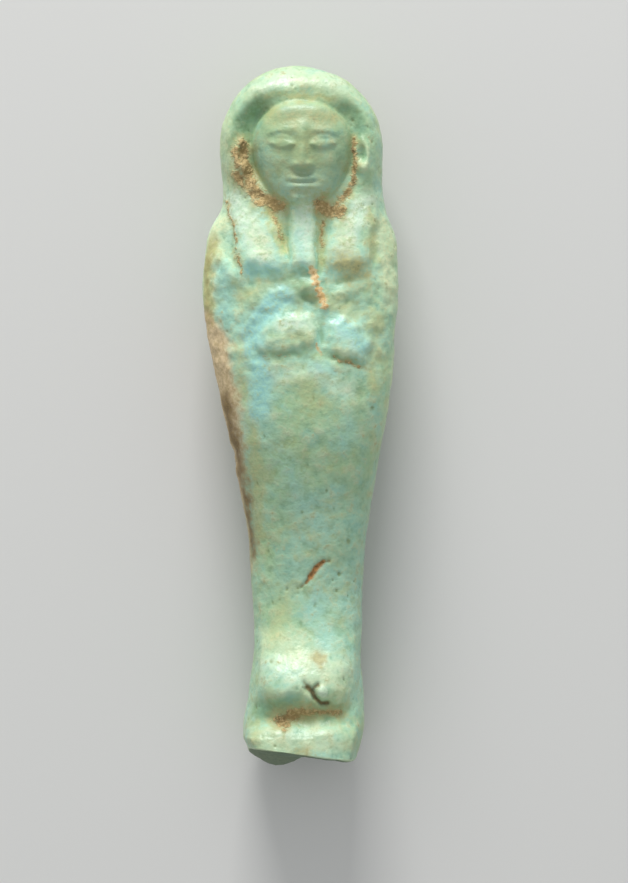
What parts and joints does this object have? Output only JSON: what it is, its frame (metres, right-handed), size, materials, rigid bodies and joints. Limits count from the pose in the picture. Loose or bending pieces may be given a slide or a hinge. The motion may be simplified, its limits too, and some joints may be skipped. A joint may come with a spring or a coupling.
{
  "type": "ushabti figurine",
  "caption": "Small mummy-shaped faience figure with a long wig, false beard, crossed arms and feet on a low slab, lying on its flat back pillar.",
  "frame": {"origin": "under the middle of the figure's bounding box, on the flat face of the back pillar that it lies on", "axes": "+Y from the feet to the crown of the head, +X towards the figure's left hand, +Z out of its face, up when it lies on its back"},
  "size_m": [0.0236, 0.0839, 0.0153],
  "materials": {
    "faience": "worn pale turquoise glaze, satin to semi-gloss, with soil in the creases and a bare tan flank"
  },
  "bodies": {
    "root": {"ushabti_figure": "faience"}
  },
  "joints": []
}
